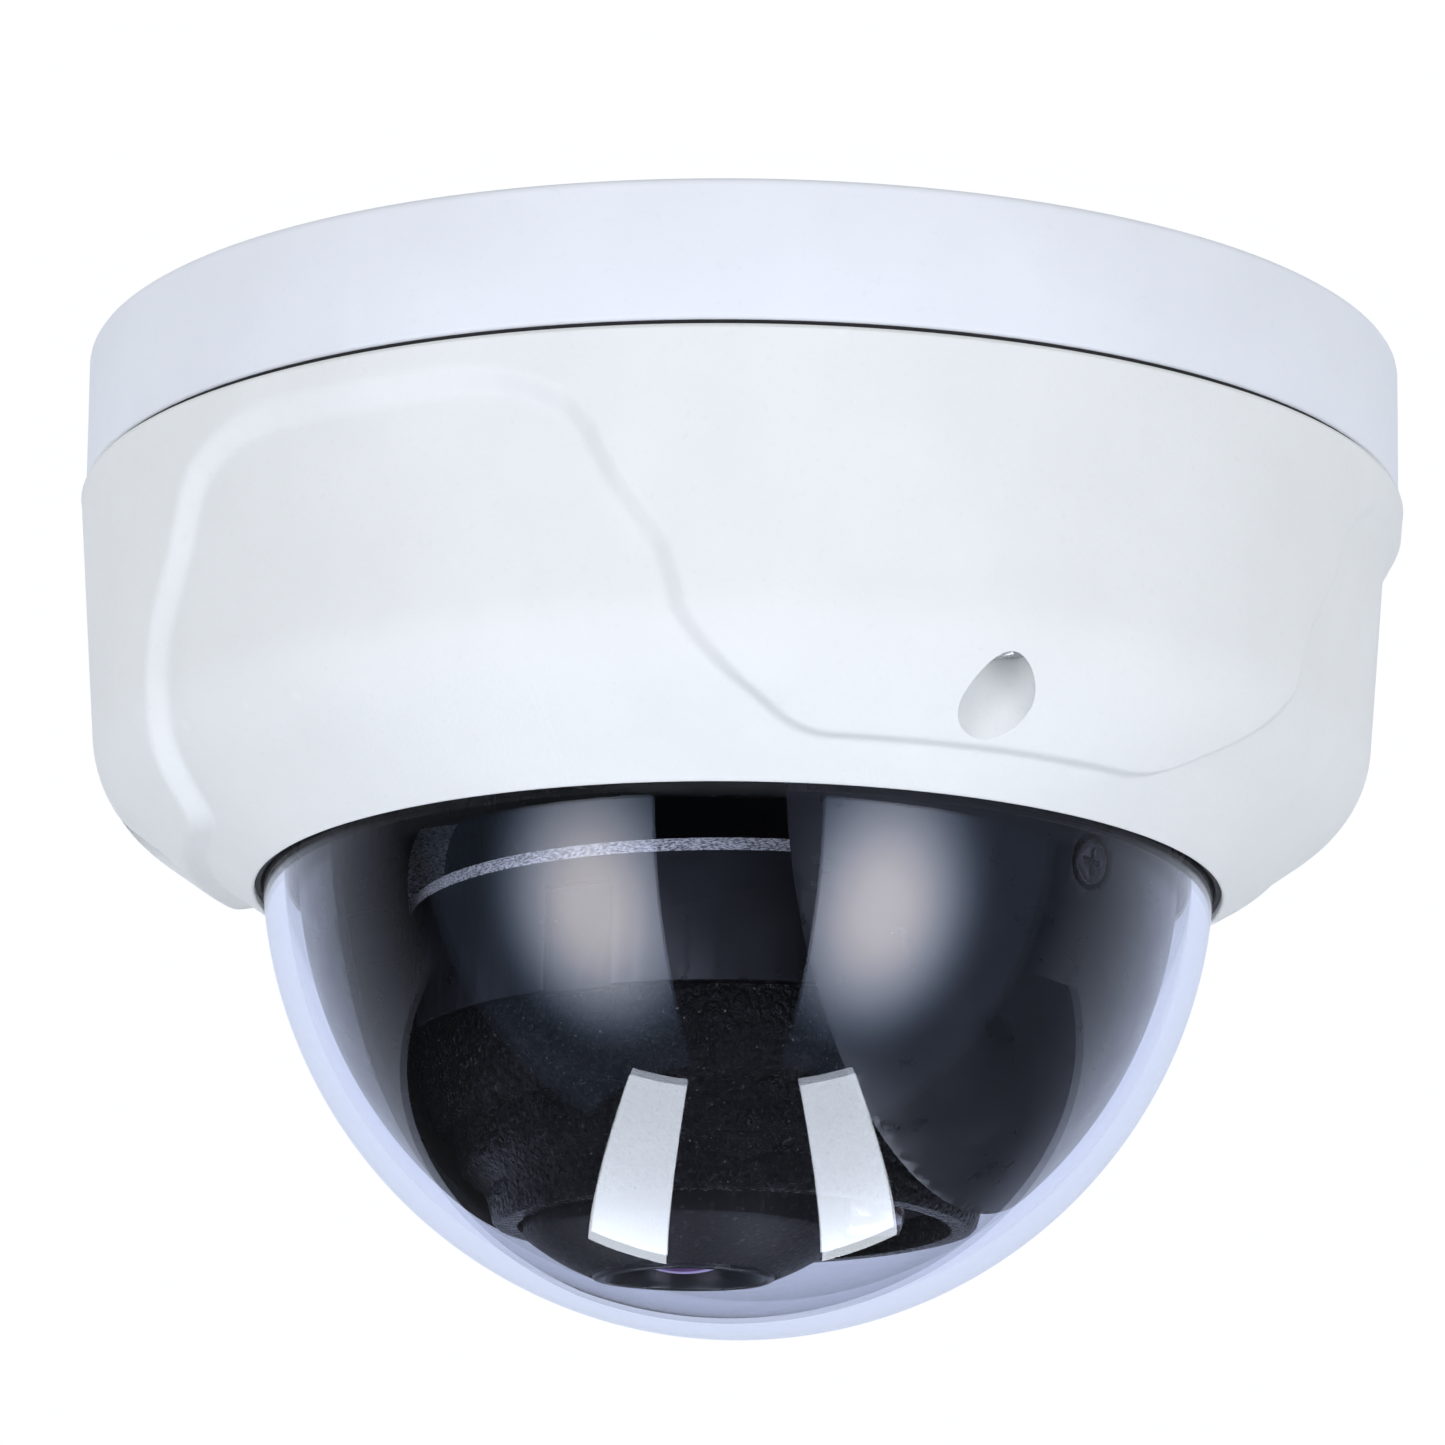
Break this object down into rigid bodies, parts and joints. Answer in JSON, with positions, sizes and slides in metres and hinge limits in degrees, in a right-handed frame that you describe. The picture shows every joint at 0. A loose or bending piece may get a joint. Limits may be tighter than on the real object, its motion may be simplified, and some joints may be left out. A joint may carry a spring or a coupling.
{
  "type": "dome security camera",
  "caption": "Ceiling dome security camera with a screwed tapered cover, clear dome and a camera module that pans, tilts and rolls behind a slotted black liner.",
  "frame": {"origin": "centre of the ceiling mounting face, on the dome's axis", "axes": "+Z out of the ceiling face, up into the ceiling; the dome hangs towards -Z; -Y through the middle of one recessed panel of the cover"},
  "size_m": [0.1112, 0.1112, 0.0821],
  "materials": {
    "base_paint": "smooth satin white",
    "cover_paint": "fine-grain satin white",
    "clear_dome": "clear polished",
    "seal_rubber": "matte",
    "steel": "bright",
    "black_steel": "blackened",
    "black_satin": "satin moulded",
    "black_grain": "leather-grain moulded",
    "black_speckle": "matte speckled",
    "chassis_metal": "satin",
    "cooler_metal": "satin",
    "brass": "satin",
    "circuit_board": "solder mask",
    "white_plastic": "satin",
    "chip_black": "matte",
    "capacitor_can": "satin",
    "lens_coated_glass": "purple coated",
    "window_plastic": "dark red tinted",
    "led_resin": "clear yellowish",
    "sensor_glass": "gloss"
  },
  "bodies": {
    "base": {"mounting_base": "base_paint", "base_gasket": "seal_rubber", "cable_grommet": "seal_rubber", "chassis_posts": "chassis_metal", "chassis_ring": "black_satin", "chassis_screws": "steel", "main_board": "circuit_board", "board_standoffs": "brass", "board_screws": "steel", "processor_heatsink": "cooler_metal", "network_connector": "white_plastic", "power_connector": "white_plastic", "board_capacitors": "capacitor_can", "board_chips": "chip_black", "ribbon_socket": "white_plastic", "card_socket": "steel", "reset_switch": "chassis_metal"},
    "cover": {"cover_shell": "cover_paint", "dome_bubble": "clear_dome", "dome_seal": "seal_rubber", "dome_retaining_ring": "black_satin", "dome_ring_screws": "steel"},
    "screw_1": {"cover_screw_1": "steel"},
    "screw_2": {"cover_screw_2": "steel"},
    "screw_3": {"cover_screw_3": "steel"},
    "card": {"memory_card": "chip_black"},
    "button": {"reset_button": "chip_black"},
    "pan_group": {"pan_ring": "black_satin", "pan_keeper": "steel", "tilt_brackets": "black_satin", "bracket_screws": "steel", "liner": "black_satin", "liner_screws": "black_steel"},
    "tilt_group": {"tilt_frame": "black_satin", "tilt_pins": "steel"},
    "roll_group": {"camera_module": "black_grain", "face_plate": "black_speckle", "lens_trim_ring": "black_satin", "lens_barrel": "black_satin", "lens_glass": "lens_coated_glass", "infrared_window": "window_plastic", "led_board": "white_plastic", "infrared_leds": "led_resin", "sensor_board": "circuit_board", "image_sensor": "sensor_glass", "module_heatsink": "cooler_metal", "module_screws": "steel"}
  },
  "joints": [
    {"name": "cover_removal", "type": "slide", "parent": "base", "child": "cover", "axis": [0, 0, -1], "range_m": [0, 0.085]},
    {"name": "memory_card_slide", "type": "slide", "parent": "base", "child": "card", "axis": [0, -1, 0], "range_m": [0, 0.011]},
    {"name": "reset_press", "type": "slide", "parent": "base", "child": "button", "axis": [0, 0, 1], "range_m": [0, 0.0003], "stiffness_N_per_m": 500},
    {"name": "pan", "type": "hinge", "parent": "base", "child": "pan_group", "pos_m": [0, 0, -0.0424], "axis": [0, 0, 1], "range_deg": [-177.5, 177.5]},
    {"name": "tilt", "type": "hinge", "parent": "pan_group", "child": "tilt_group", "pos_m": [0, 0, -0.0424], "axis": [-0.9951, -0.0993, 0], "range_deg": [0, 75]},
    {"name": "roll", "type": "hinge", "parent": "tilt_group", "child": "roll_group", "pos_m": [0, 0, -0.0424], "axis": [0, 0, 1], "range_deg": [-177.5, 177.5]},
    {"name": "cover_screw_1_draw", "type": "slide", "parent": "cover", "child": "screw_1", "axis": [0, 0, -1], "range_m": [0, 0.0115]},
    {"name": "cover_screw_2_draw", "type": "slide", "parent": "cover", "child": "screw_2", "axis": [0, 0, -1], "range_m": [0, 0.0115]},
    {"name": "cover_screw_3_draw", "type": "slide", "parent": "cover", "child": "screw_3", "axis": [0, 0, -1], "range_m": [0, 0.0115]}
  ]
}
